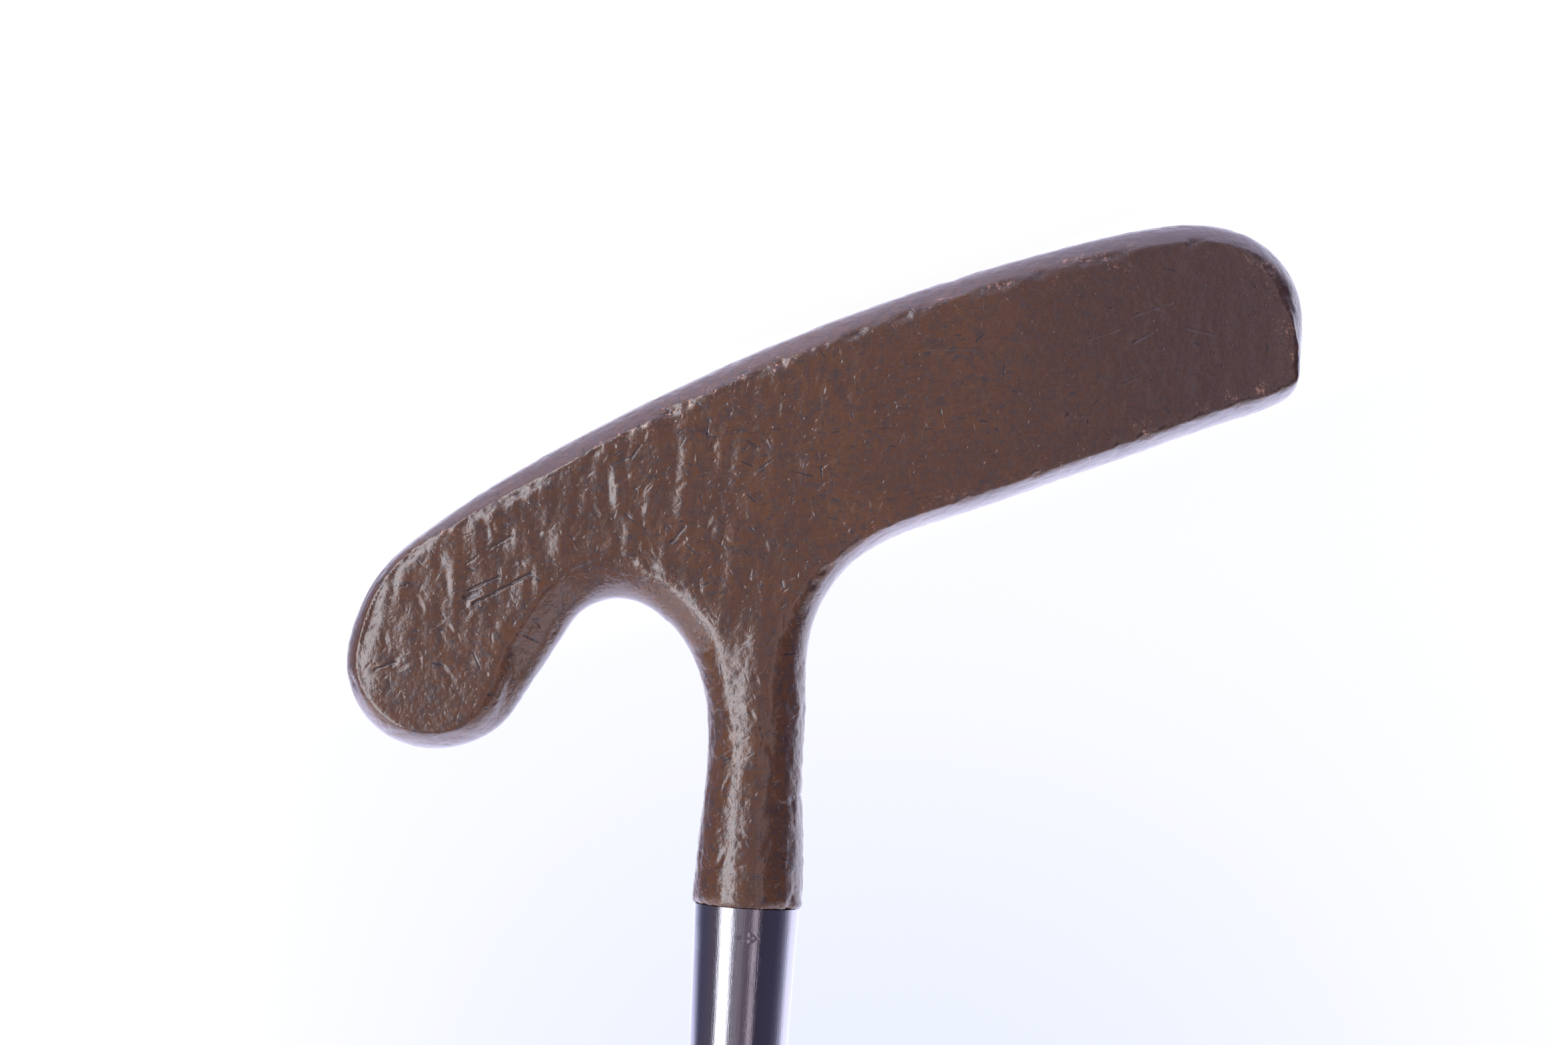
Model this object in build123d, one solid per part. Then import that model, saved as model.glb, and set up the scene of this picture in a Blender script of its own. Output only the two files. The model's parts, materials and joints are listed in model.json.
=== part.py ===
"""A centre-shafted blade putter: a cast bronze head on a flare-tip steel shaft, with a leather-wrapped grip.

The club is drawn upright, with the shaft's axis on +Z and Z = 0 at the hosel's shoulder, where the tube
butts. X runs from toe to heel and Y from face to face. It is then leaned to its lie and moved, so that the
sole touches the ground at the origin. Millimetres.
"""

import math
import os

from build123d import *

# ---- driving dimensions: the whole club ----
CLUB_LENGTH = 889.0  # 35 in, up the shaft's axis from the sole to the top of the butt cap
LIE_DEG = 68.0  # shaft to ground, seen from the face
FACE_LOFT_DEG = 2.0  # both faces look up by this much, because the blade is used both ways

# ---- the blade's outline, at mid-thickness: the centre and radius of each arc ----
SOLE = ((-119.2, 172.0), 269.6)
TOE = ((-53.6, -76.0), 12.0)
TOE_CORNER = ((-62.0, -68.6), 3.0)
THROAT = ((-22.8, -30.4), 17.15)
NOTCH = ((17.8, -29.0), 7.2)
HEEL_INNER = ((40.1, -28.6), 12.3)
HEEL_TOP = ((40.0, -27.4), 11.0)
HEEL_LOW = ((31.8, -27.3), 19.0)
TOPLINE_RISE_DEG = 22.6

# ---- the blade's section: how far each side bulges past the edge of the flat face ----
SOLE_CROWN = 3.3
TOE_CROWN = 3.8
HEEL_CROWN = 2.5
HEEL_LOW_CROWN = 2.0
NOTCH_CROWN = 4.1
TOPLINE_CROWN = 0.9
NECK_CROWN = 2.4
SOLE_HALF_THICKNESS = 6.2

# ---- the hosel, a waisted round neck, as (height, radius) ----
HOSEL_PROFILE = [(-44.0, 4.6), (-30.0, 5.7), (-20.0, 5.95), (-13.0, 6.15), (-7.0, 6.5), (-1.0, 6.65)]
HOSEL_LIP_RADIUS = 6.35

# ---- the tapered post that the tube is pushed over ----
POST_LENGTH = 30.0
BOND_THICKNESS = 0.12

# ---- the shaft, a stepped steel tube with a flared tip ----
FLARE_RADIUS = 6.35
FLARE_LENGTH = 64.0
TIP_RADIUS = 4.75
TIP_END = 254.0
STEP_COUNT = 10
STEP_LENGTH = 38.1
STEP_SHOULDER = 2.0
BUTT_RADIUS = 7.62
TUBE_WALL = 0.6
STAKE_HEIGHT = 3.8
STAKE_SIZE = (2.3, 1.3)
STAKE_DEPTH = 0.3

# ---- the grip ----
GRIP_LENGTH = 267.0
CAP_DOME = 6.0
CAP_SKIRT = 13.0
CAP_EDGE_ROUND = 3.0
COLLAR_LENGTH = 18.0
COLLAR_NECK_LENGTH = 9.0
COLLAR_LOW_RADIUS = 7.9
COLLAR_SHOULDER_RADIUS = 10.7
COLLAR_TOP_RADIUS = 10.9
COLLAR_WALL_LENGTH = 1.2
END_TAPE_LENGTH = 6.0
END_TAPE_THICKNESS = 0.25
GRIP_TAPE_THICKNESS = 0.2
LEATHER_THICKNESS = 1.3
LOW_GRIP_RADIUS = 9.4
TOP_GRIP_RADIUS = 13.2
LOW_GRIP_FLAT = 9.35  # how far the thumb flat is from the axis
TOP_GRIP_FLAT = 10.0
FLAT_SOFTNESS = 0.6
PLUG_LENGTH = 32.0
SCREW_RADIUS = 1.6
SCREW_LENGTH = 22.0
SCREW_HEAD_RADIUS = 3.3
SCREW_HEAD_HEIGHT = 2.0
SCREW_SLOT = (0.9, 0.8)  # width, depth

# ---- worked out ----
LEAN = math.radians(90.0 - LIE_DEG)
LOFT_SLOPE = math.tan(math.radians(FACE_LOFT_DEG))
CONTACT = (
    SOLE[0][0] + SOLE[1] * math.sin(LEAN),
    SOLE[0][1] - SOLE[1] * math.cos(LEAN),
)
SOLE_ON_AXIS = SOLE[0][1] - math.sqrt(SOLE[1] ** 2 - SOLE[0][0] ** 2)
CLUB_TOP = SOLE_ON_AXIS + CLUB_LENGTH
TUBE_TOP = CLUB_TOP - CAP_DOME
SKIRT_LOW = TUBE_TOP - CAP_SKIRT
GRIP_LOW = CLUB_TOP - GRIP_LENGTH
WRAP_LOW = GRIP_LOW + COLLAR_NECK_LENGTH
COLLAR_TOP = GRIP_LOW + COLLAR_LENGTH


def height_above_ground(x, z):
    """How high a point of the upright drawing stands once the club is leaned to its lie."""
    return (z - CONTACT[1]) * math.cos(LEAN) - (x - CONTACT[0]) * math.sin(LEAN)


def face_offset(x, z):
    """Half the blade's thickness there: it thins from the sole upwards, because both faces have loft."""
    return SOLE_HALF_THICKNESS - LOFT_SLOPE * height_above_ground(x, z)


def arc_points(arc, start_deg, end_deg, count, start_crown, end_crown):
    """Points (x, z, crown) along an arc, its ends included."""
    (centre_x, centre_z), radius = arc
    points = []
    for i in range(count):
        share = i / (count - 1)
        angle = math.radians(start_deg + (end_deg - start_deg) * share)
        crown = start_crown + (end_crown - start_crown) * share
        points.append((centre_x + radius * math.cos(angle), centre_z + radius * math.sin(angle), crown))
    return points


def topline_points(start_x, end_x, count):
    """Points along the straight top line, which touches the throat's arc."""
    (centre_x, centre_z), radius = THROAT
    rise = math.radians(TOPLINE_RISE_DEG)
    touch_x = centre_x + radius * math.sin(rise)
    touch_z = centre_z - radius * math.cos(rise)
    points = []
    for i in range(count):
        x = start_x + (end_x - start_x) * i / (count - 1)
        points.append((x, touch_z + (x - touch_x) * math.tan(rise), TOPLINE_CROWN))
    return points


def outline_points():
    """The blade's outline as (x, z, crown), from the hosel down the toe side and round to the heel side."""
    toe_neck = [(0.0, -14.5, NECK_CROWN), (-5.0, -16.0, NECK_CROWN), (-5.6, -21.0, NECK_CROWN)]
    toe_neck += [(-5.65, -26.0, NECK_CROWN)]
    throat = arc_points(THROAT, 3, TOPLINE_RISE_DEG - 82, 5, NECK_CROWN, TOPLINE_CROWN)
    topline = topline_points(-24.0, -58.0, 4)
    corner = arc_points(TOE_CORNER, 112, 185, 3, TOPLINE_CROWN, TOPLINE_CROWN)
    toe = arc_points(TOE, 180, 258, 5, 0.7 * TOE_CROWN, TOE_CROWN)
    sole = arc_points(SOLE, 286.5, 305.0, 7, TOE_CROWN, SOLE_CROWN)
    heel_low = arc_points(HEEL_LOW, -52, -12, 4, HEEL_LOW_CROWN, HEEL_CROWN)
    heel_top = arc_points(HEEL_TOP, 8, 96, 5, HEEL_CROWN, HEEL_LOW_CROWN)
    heel_inner = arc_points(HEEL_INNER, 118, 158, 3, HEEL_LOW_CROWN, NOTCH_CROWN)
    notch = arc_points(NOTCH, -20, -120, 5, NOTCH_CROWN, NOTCH_CROWN)
    heel_neck = [(10.6, -32.2, NOTCH_CROWN), (8.4, -29.0, NOTCH_CROWN), (7.1, -25.8, NECK_CROWN)]
    heel_neck += [(6.4, -22.4, NECK_CROWN), (6.0, -19.0, NECK_CROWN), (5.0, -15.8, NECK_CROWN)]
    return toe_neck + throat + topline + corner + toe + sole + heel_low + heel_top + heel_inner + notch + heel_neck


def section_wire(points, side):
    """The blade's outline at mid-thickness (side 0), at a face (-1 or 1), or between, drawn in by its crown."""
    drawn = []
    for i, (x, z, crown) in enumerate(points):
        before, after = points[i - 1], points[(i + 1) % len(points)]
        run, climb = after[0] - before[0], after[1] - before[1]
        length = math.hypot(run, climb)
        inset = crown * side**2
        x_in, z_in = x - climb / length * inset, z + run / length * inset
        drawn.append((x_in, side * face_offset(x_in, z_in), z_in))
    return Wire([Edge.make_spline([Vector(*p) for p in drawn], periodic=True)])


def revolve_profile(points):
    """A solid of revolution about the shaft's axis, from its (radius, height) outline."""
    outline = Polyline(*[(radius, 0, height) for radius, height in points], close=True)
    return revolve(make_face(outline), Axis.Z)


def cone(low, low_radius, high, high_radius):
    return revolve_profile([(0, low), (low_radius, low), (high_radius, high), (0, high)])


def flare_radius(height):
    """The tube's outer radius in the flared tip."""
    return FLARE_RADIUS + (TIP_RADIUS - FLARE_RADIUS) * height / FLARE_LENGTH


def tube_profile():
    """The tube's outer (radius, height) points, from the flared tip to the butt."""
    growth = (BUTT_RADIUS - TIP_RADIUS) / STEP_COUNT
    points = [(FLARE_RADIUS, 0.0), (TIP_RADIUS, FLARE_LENGTH)]
    for step in range(STEP_COUNT):
        low = TIP_END + step * STEP_LENGTH
        radius = TIP_RADIUS + step * growth
        points += [(radius, low), (radius + growth, low + STEP_SHOULDER)]
    return points + [(BUTT_RADIUS, TUBE_TOP)]


def tube_radius(height):
    """The tube's outer radius at a height."""
    points = tube_profile()
    for (low_r, low), (high_r, high) in zip(points, points[1:]):
        if low <= height <= high:
            return low_r + (high_r - low_r) * (height - low) / (high - low)
    raise ValueError(height)


def profile_band(low, high, inner, outer):
    """A sleeve between two heights that follows the tube's outside, from inner to outer beyond it."""
    inside = [(r, z) for r, z in tube_profile() if low < z < high]
    inside = [(tube_radius(low), low), *inside, (tube_radius(high), high)]
    return revolve_profile([(r + inner, z) for r, z in inside] + [(r + outer, z) for r, z in reversed(inside)])


def profile_core(low, high, clearance):
    """A plug of the tube's outside between two heights, grown by the clearance, used to cut a bore."""
    inside = [(r, z) for r, z in tube_profile() if low < z < high]
    inside = [(tube_radius(low), low), *inside, (tube_radius(high), high)]
    return revolve_profile([(0, low)] + [(r + clearance, z) for r, z in inside] + [(0, high)])


def grip_share(height):
    """0 at the wrap's lower end and 1 at the cap's skirt."""
    return (height - WRAP_LOW) / (SKIRT_LOW - WRAP_LOW)


def grip_wire(height, inset=0.0):
    """The grip's section at a height: round at the bottom, with a thumb flat on the toe side further up."""
    share = grip_share(height)
    radius = LOW_GRIP_RADIUS + (TOP_GRIP_RADIUS - LOW_GRIP_RADIUS) * share
    flat = LOW_GRIP_FLAT + (TOP_GRIP_FLAT - LOW_GRIP_FLAT) * share
    softness = FLAT_SOFTNESS * (radius - flat)
    outside = []
    for i in range(24):
        angle = math.radians(i * 15)
        across = radius * math.cos(angle)
        eased = (across - flat + math.hypot(across + flat, softness)) / 2
        outside.append((eased, radius * math.sin(angle)))
    points = []
    for i, (x, y) in enumerate(outside):
        before, after = outside[i - 1], outside[(i + 1) % len(outside)]
        run, climb = after[0] - before[0], after[1] - before[1]
        length = math.hypot(run, climb)
        points.append(Vector(x - climb / length * inset, y + run / length * inset, height))
    return Wire([Edge.make_spline(points, periodic=True)])


def grip_loft(low, high, inset=0.0):
    """The solid grip shape between two heights, drawn in by an inset."""
    count = max(2, round((high - low) / 40) + 1)
    heights = [low + (high - low) * i / (count - 1) for i in range(count)]
    return Solid.make_loft([grip_wire(z, inset) for z in heights])


def slab(low, high):
    """Everything between two heights."""
    return Pos(0, 0, (low + high) / 2) * Cylinder(2 * TOP_GRIP_RADIUS, high - low)


GRIP_SHAPE = grip_loft(WRAP_LOW, CLUB_TOP)
UNDERLISTING_SHAPE = grip_loft(WRAP_LOW, CLUB_TOP, LEATHER_THICKNESS)
TAPED_SHAPE = grip_loft(WRAP_LOW, COLLAR_TOP, -END_TAPE_THICKNESS)


# ---- the pieces ----
def make_head():
    """Blade, hosel and post: one casting."""
    points = outline_points()
    blade = Solid.make_loft([section_wire(points, side) for side in (-1, -0.6, 0, 0.6, 1)])
    neck = [(0, HOSEL_PROFILE[0][0])] + [(r, z) for z, r in HOSEL_PROFILE] + [(HOSEL_LIP_RADIUS, 0), (0, 0)]
    post_gap = TUBE_WALL + BOND_THICKNESS
    post = cone(0, FLARE_RADIUS - post_gap, POST_LENGTH, flare_radius(POST_LENGTH) - post_gap)
    return blade + revolve_profile(neck) + post


def make_hosel_bond():
    """The cured adhesive between the post and the tube's bore."""
    outer, inner = TUBE_WALL, TUBE_WALL + BOND_THICKNESS
    low, high = FLARE_RADIUS, flare_radius(POST_LENGTH)
    return revolve_profile(
        [(low - inner, 0), (low - outer, 0), (high - outer, POST_LENGTH), (high - inner, POST_LENGTH)]
    )


def make_shaft():
    """The tube, staked on its front so that it can't turn on the post."""
    outside = tube_profile()
    inside = [(r - TUBE_WALL, z) for r, z in reversed(outside)]
    tube = revolve_profile(outside + inside)
    width, height = STAKE_SIZE
    front = -flare_radius(STAKE_HEIGHT)
    punch = Pos(0, front, STAKE_HEIGHT) * Box(width, 2 * STAKE_DEPTH, height)
    return tube - fillet(punch.edges().filter_by(Axis.Y), height * 0.45)


def make_butt_plug():
    """A wooden plug in the tube's top, bored for the screw."""
    bored = Pos(0, 0, TUBE_TOP) * Cylinder(SCREW_RADIUS, 2 * (SCREW_LENGTH - CAP_DOME))
    return Pos(0, 0, TUBE_TOP - PLUG_LENGTH / 2) * Cylinder(BUTT_RADIUS - TUBE_WALL, PLUG_LENGTH) - bored


def make_grip_tape():
    """Two-sided tape between the tube and the underlisting."""
    return profile_band(WRAP_LOW, TUBE_TOP, 0.0, GRIP_TAPE_THICKNESS)


def make_underlisting():
    """The shaped rubber sleeve under the leather."""
    return UNDERLISTING_SHAPE & slab(WRAP_LOW, TUBE_TOP) - profile_core(WRAP_LOW, TUBE_TOP, GRIP_TAPE_THICKNESS)


def make_leather_wrap():
    """The leather strip, drawn as one closed sleeve from the collar to the cap's skirt."""
    return (GRIP_SHAPE - UNDERLISTING_SHAPE) & slab(WRAP_LOW, SKIRT_LOW)


def make_end_tape():
    """The tape that ties down the strip's last turn, under the collar."""
    return (TAPED_SHAPE - GRIP_SHAPE) & slab(WRAP_LOW, WRAP_LOW + END_TAPE_LENGTH)


def make_collar():
    """The bell-shaped ring at the grip's lower end: it hugs the tube and covers the wrap's tail."""
    shoulder = (COLLAR_SHOULDER_RADIUS, WRAP_LOW - COLLAR_WALL_LENGTH)
    bell = [(0, GRIP_LOW), (COLLAR_LOW_RADIUS, GRIP_LOW), shoulder, (COLLAR_TOP_RADIUS, COLLAR_TOP), (0, COLLAR_TOP)]
    body = revolve_profile(bell)
    body = fillet(body.edges().filter_by(GeomType.CIRCLE), 0.5)
    return body - profile_core(GRIP_LOW, WRAP_LOW, 0.0) - TAPED_SHAPE


def make_cap():
    """The butt cap: a skirt round the underlisting and a domed disc on the tube's end."""
    body = GRIP_SHAPE & slab(SKIRT_LOW, CLUB_TOP)
    body = fillet(body.edges().sort_by(Axis.Z)[-1], CAP_EDGE_ROUND)
    hole = Pos(0, 0, CLUB_TOP) * Cylinder(SCREW_RADIUS, 4 * CAP_DOME)
    sink = cone(CLUB_TOP - SCREW_HEAD_HEIGHT, SCREW_RADIUS, CLUB_TOP, SCREW_HEAD_RADIUS)
    return body - (UNDERLISTING_SHAPE & slab(SKIRT_LOW, TUBE_TOP)) - hole - sink


def make_cap_screw():
    """A slotted countersunk screw through the cap into the plug."""
    head = cone(CLUB_TOP - SCREW_HEAD_HEIGHT, SCREW_RADIUS, CLUB_TOP, SCREW_HEAD_RADIUS)
    shank = Pos(0, 0, CLUB_TOP - SCREW_LENGTH / 2) * Cylinder(SCREW_RADIUS, SCREW_LENGTH)
    width, depth = SCREW_SLOT
    return head + shank - Pos(0, 0, CLUB_TOP) * Box(4 * SCREW_HEAD_RADIUS, width, 2 * depth)


PIECES = {
    "head": make_head,
    "hosel_bond": make_hosel_bond,
    "shaft": make_shaft,
    "butt_plug": make_butt_plug,
    "grip_tape": make_grip_tape,
    "underlisting": make_underlisting,
    "leather_wrap": make_leather_wrap,
    "wrap_end_tape": make_end_tape,
    "grip_collar": make_collar,
    "butt_cap": make_cap,
    "cap_screw": make_cap_screw,
}

# Lean the drawing to its lie, about the point where the sole touches the ground, and put that at the origin.
to_ground = Rot(0, 90.0 - LIE_DEG, 0) * Pos(-CONTACT[0], 0, -CONTACT[1])

os.makedirs("parts", exist_ok=True)
for name, make in PIECES.items():
    export_step(to_ground * make(), f"parts/{name}.step")
    print("wrote", name)
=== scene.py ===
# %% [markdown]
# # A two-way blade putter
#
# The club is a cast bronze head on a chromed steel shaft, with a leather grip. It has no moving parts, so every
# piece rides on one body, and the work is all in the surfaces: bronze that has been knocked about in a bag for
# years, bright chrome beside it, and a strip of leather wound up the shaft.
#
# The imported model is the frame. It says where everything is, in metres, and nothing in it is moved.

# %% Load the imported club
import itertools
import json
import math

import bmesh
import bpy
import numpy as np
from mathutils import Matrix, Vector
from mathutils.bvhtree import BVHTree
from mathutils.kdtree import KDTree


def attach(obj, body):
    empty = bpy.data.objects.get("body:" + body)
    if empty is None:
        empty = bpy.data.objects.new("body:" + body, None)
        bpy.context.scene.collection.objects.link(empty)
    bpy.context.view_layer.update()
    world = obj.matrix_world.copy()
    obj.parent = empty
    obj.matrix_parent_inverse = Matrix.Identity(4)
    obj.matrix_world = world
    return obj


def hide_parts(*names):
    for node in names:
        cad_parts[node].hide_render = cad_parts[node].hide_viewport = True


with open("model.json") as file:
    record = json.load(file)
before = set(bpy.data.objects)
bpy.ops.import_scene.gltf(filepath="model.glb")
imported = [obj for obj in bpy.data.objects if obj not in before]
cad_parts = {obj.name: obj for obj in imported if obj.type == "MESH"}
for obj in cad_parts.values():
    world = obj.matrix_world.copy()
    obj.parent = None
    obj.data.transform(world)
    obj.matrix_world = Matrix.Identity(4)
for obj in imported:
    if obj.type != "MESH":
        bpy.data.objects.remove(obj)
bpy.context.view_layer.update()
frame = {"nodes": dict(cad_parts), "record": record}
MM = 0.001
scene = bpy.context.scene
print("nodes:", sorted(frame["nodes"]))

# %% [markdown]
# ## Directions along the club
#
# The shaft leans, so the row's axes are no use for a band round the hosel or a turn of leather. The record's grip
# mount gives the shaft's direction and a point on its axis. With the tube's lowest point along that direction it
# gives the mouth of the hosel, from where everything on this club is measured: toe-ward, up the shaft, and out
# of the front face. An address written as (toe, height, front) in millimetres is easy to picture.

# %% The shaft's own axes
mounts = {mount["name"]: mount for mount in frame["record"]["mounts"]}
UP_SHAFT = Vector(mounts["grip"]["axis"]).normalized()
FRONT = Vector((0, -1, 0))
TOEWARD = Vector((-UP_SHAFT.z, 0, UP_SHAFT.x))
GRIP_MIDDLE = Vector(mounts["grip"]["pos_m"])


def mesh_points(mesh):
    """A mesh's vertices as rows of x, y, z."""
    points = np.empty(len(mesh.vertices) * 3)
    mesh.vertices.foreach_get("co", points)
    return points.reshape(-1, 3)


def reach_along_shaft(node):
    """The lowest and highest reach of a CAD node along the shaft, in metres from the row's origin."""
    heights = mesh_points(frame["nodes"][node].data) @ np.array(UP_SHAFT)
    return heights.min(), heights.max()


mouth_height = reach_along_shaft("shaft")[0]
MOUTH = GRIP_MIDDLE + UP_SHAFT * (mouth_height - GRIP_MIDDLE.dot(UP_SHAFT))
AXES = np.array([TOEWARD, UP_SHAFT, FRONT])


def address(points):
    """(toe, height, front) of points in the row frame, in millimetres from the hosel's mouth."""
    return (points - np.array(MOUTH)) @ AXES.T / MM


print("the hosel's mouth is at", [round(x / MM, 2) for x in MOUTH], "mm")

# %% [markdown]
# ## The camera
#
# A putter is usually drawn standing on its sole. Here it is held upside down, head in the air, so the camera is
# rolled over and hangs in front of the face. It is given by where it stands from the mouth and by two small
# angles, because those are what one changes behind a camera: how far it dips along the shaft, and how far the
# club leans in the frame.

# %% The camera, head side up
CAMERA_STAND = Vector((3.56, -15.97, 215.1)) * MM  # toe-ward, up the shaft, in front of the mouth
CAMERA_DIP = math.radians(8.2)
CLUB_LEAN = math.radians(3.4)

camera = bpy.data.objects.new("camera", bpy.data.cameras.new("camera"))
scene.collection.objects.link(camera)
camera.data.sensor_width = 36
camera.data.lens = 40
camera.data.clip_start = 0.01
picture_right = math.cos(CLUB_LEAN) * TOEWARD - math.sin(CLUB_LEAN) * UP_SHAFT
leaning_up = -math.sin(CLUB_LEAN) * TOEWARD - math.cos(CLUB_LEAN) * UP_SHAFT
picture_up = math.cos(CAMERA_DIP) * leaning_up + math.sin(CAMERA_DIP) * FRONT
backwards = picture_right.cross(picture_up)
turn = Matrix((picture_right, picture_up, backwards)).transposed().to_4x4()
stand = MOUTH + CAMERA_STAND.x * TOEWARD + CAMERA_STAND.y * UP_SHAFT + CAMERA_STAND.z * FRONT
camera.matrix_world = Matrix.Translation(stand) @ turn
scene.camera = camera
print("camera at", [round(x / MM, 1) for x in stand], "mm")

# %% [markdown]
# ## Writing node trees as sums
#
# A finish is a sum of patterns. Nodes wired by hand hide that sum, so one small class wraps a socket and lets
# Python's own signs add the Math nodes: `0.2 + 0.5 * grain` reads as what it does. Every other node comes from
# one method that sets its settings first and then its sockets. Geometry Nodes share the class, because their Math
# nodes are the same ones.


# %% Terms and the tree maker
class Term:
    """A socket that can stand in an ordinary sum."""

    def __init__(self, maker, socket):
        self.maker = maker
        self.socket = socket

    def math(self, operation, *terms, clamp=False):
        inputs = dict(enumerate(terms))
        return self.maker.add("ShaderNodeMath", inputs, operation=operation, use_clamp=clamp)

    def __add__(self, other):
        return self.math("ADD", self, other)

    def __radd__(self, other):
        return self.math("ADD", other, self)

    def __sub__(self, other):
        return self.math("SUBTRACT", self, other)

    def __rsub__(self, other):
        return self.math("SUBTRACT", other, self)

    def __mul__(self, other):
        return self.math("MULTIPLY", self, other)

    def __rmul__(self, other):
        return self.math("MULTIPLY", other, self)

    def __truediv__(self, other):
        return self.math("DIVIDE", self, other)

    def __pow__(self, other):
        return self.math("POWER", self, other)

    def __neg__(self):
        return self.math("MULTIPLY", self, -1.0)

    def clamped(self):
        return self.math("ADD", self, 0.0, clamp=True)

    def step(self, low, high):
        """0 at low and 1 at high, with a smooth rise between them. low may be the larger."""
        inputs = {"Value": self, "From Min": low, "From Max": high}
        return self.maker.add("ShaderNodeMapRange", inputs, interpolation_type="SMOOTHSTEP")


class Maker:
    """Adds nodes to one tree."""

    def __init__(self, tree):
        self.tree = tree

    def add(self, kind, inputs=None, output=0, stops=None, **settings):
        node = self.tree.nodes.new(kind)
        for name, value in settings.items():
            setattr(node, name, value)
        if stops:
            ramp = node.color_ramp
            for i, (place, colour) in enumerate(stops):
                stop = ramp.elements[i] if i < 2 else ramp.elements.new(place)
                stop.position = place
                stop.color = (*colour, 1)
        for key, value in (inputs or {}).items():
            if isinstance(value, Term):
                self.tree.links.new(value.socket, node.inputs[key])
            else:
                node.inputs[key].default_value = value
        return Term(self, node.outputs[output]) if node.outputs else node

    def parts(self, vector):
        """A vector's x, y and z as three terms."""
        node = self.add("ShaderNodeSeparateXYZ", {0: vector}).socket.node
        return [Term(self, socket) for socket in node.outputs]

    def mix(self, share, first, second):
        """A colour between two colours."""
        first, second = (c if isinstance(c, Term) else (*c, 1) for c in (first, second))
        inputs = {0: share, 6: first, 7: second}
        return self.add("ShaderNodeMix", inputs, output=2, data_type="RGBA")


class Finish(Maker):
    """A material under construction. Its patterns read Object coordinates, in millimetres."""

    def __init__(self, name):
        self.material = bpy.data.materials.new(name)
        self.material.use_nodes = True
        super().__init__(self.material.node_tree)
        self.shader = next(n for n in self.tree.nodes if n.type == "BSDF_PRINCIPLED")
        self.place = self.turned((0, 0, 0), (0, 0, 0), (1, 1, 1))

    def turned(self, offset, angles, scale):
        """Object coordinates in millimetres, scaled, then turned, then moved."""
        spot = self.add("ShaderNodeTexCoord", output="Object")
        scale = [1000 * s for s in scale]
        inputs = {"Vector": spot, "Location": offset, "Rotation": angles, "Scale": scale}
        return self.add("ShaderNodeMapping", inputs)

    def stretched(self, place, scale):
        return self.add("ShaderNodeMapping", {"Vector": place, "Scale": scale})

    def noise(self, place, size, detail=2.0, roughness=0.5):
        """Cloudy noise whose lumps are about size millimetres across."""
        inputs = {"Vector": place, "Scale": 1 / size, "Detail": detail, "Roughness": roughness}
        return self.add("ShaderNodeTexNoise", inputs)

    def set(self, **values):
        """Sets the shader's sockets: Base_Color=..., Roughness=... and so on."""
        for name, value in values.items():
            socket = self.shader.inputs[name.replace("_", " ")]
            if isinstance(value, Term):
                self.tree.links.new(value.socket, socket)
            else:
                socket.default_value = value

    def bump(self, height, strength, distance):
        """A bump, in millimetres, on the shader's normal."""
        inputs = {"Height": height, "Strength": strength, "Distance": distance * MM}
        self.set(Normal=self.add("ShaderNodeBump", inputs))


LEAN = math.atan2(UP_SHAFT.x, UP_SHAFT.z)
TO_SHAFT = Matrix.Rotation(-LEAN, 3, "Y")


def shaft_place(finish):
    """Object coordinates turned to the club: x heel-ward, y back, z up the shaft, from the hosel's mouth."""
    offset = -(TO_SHAFT @ MOUTH) / MM
    return finish.turned(offset, (0, -LEAN, 0), (1, 1, 1))


# %% [markdown]
# ## The studio
#
# Chrome and glossy bronze show the room more than themselves, so the room is designed from what they should show.
# Going round the shaft, a tube of chrome lays the whole room out in stripes: bright edges where it turns away from
# the lens, dark bands beside them, a grey lens side with one thin strip light, and a tall soft window to the left.
# A colour ramp round the shaft holds those stripes. The table under the lens is bright as well, and so is the room
# above the sole, so the top line and the sole both go pale while the face stays brown.

# %% The room round the shaft
ROOM_STOPS = [  # degrees round the shaft from the lens's side, towards the heel, and the light that comes from there
    (-180, (1.3, 1.3, 1.6)),
    (-122, (1.15, 1.15, 1.42)),
    (-108, (0.42, 0.42, 0.58)),
    (-94, (0.13, 0.12, 0.19)),
    (-78, (0.06, 0.055, 0.10)),
    (-32, (0.055, 0.048, 0.08)),
    (-27, (0.54, 0.45, 0.53)),
    (-21, (0.60, 0.49, 0.56)),
    (-14, (0.14, 0.11, 0.155)),
    (-4, (0.16, 0.125, 0.16)),
    (10, (0.30, 0.26, 0.31)),
    (24, (0.22, 0.20, 0.25)),
    (70, (0.12, 0.10, 0.14)),
    (104, (0.085, 0.08, 0.14)),
    (124, (0.14, 0.14, 0.23)),
    (140, (0.42, 0.44, 0.62)),
    (162, (1.3, 1.3, 1.6)),
]
TABLE_GLOW = (1.34, 1.36, 1.82)
SIDE_GLOW = (0.85, 0.74, 0.84)
UNDER_GLOW = (0.70, 0.66, 0.92)

world = bpy.data.worlds.new("studio")
world.use_nodes = True
scene.world = world
room = Maker(world.node_tree)
world.node_tree.nodes.clear()
direction = room.add("ShaderNodeTexCoord", output="Generated")


def along(maker, vector, axis):
    """How far a vector reaches along an axis, as a term."""
    inputs = {0: vector, 1: tuple(axis)}
    return maker.add("ShaderNodeVectorMath", inputs, output="Value", operation="DOT_PRODUCT")


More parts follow.
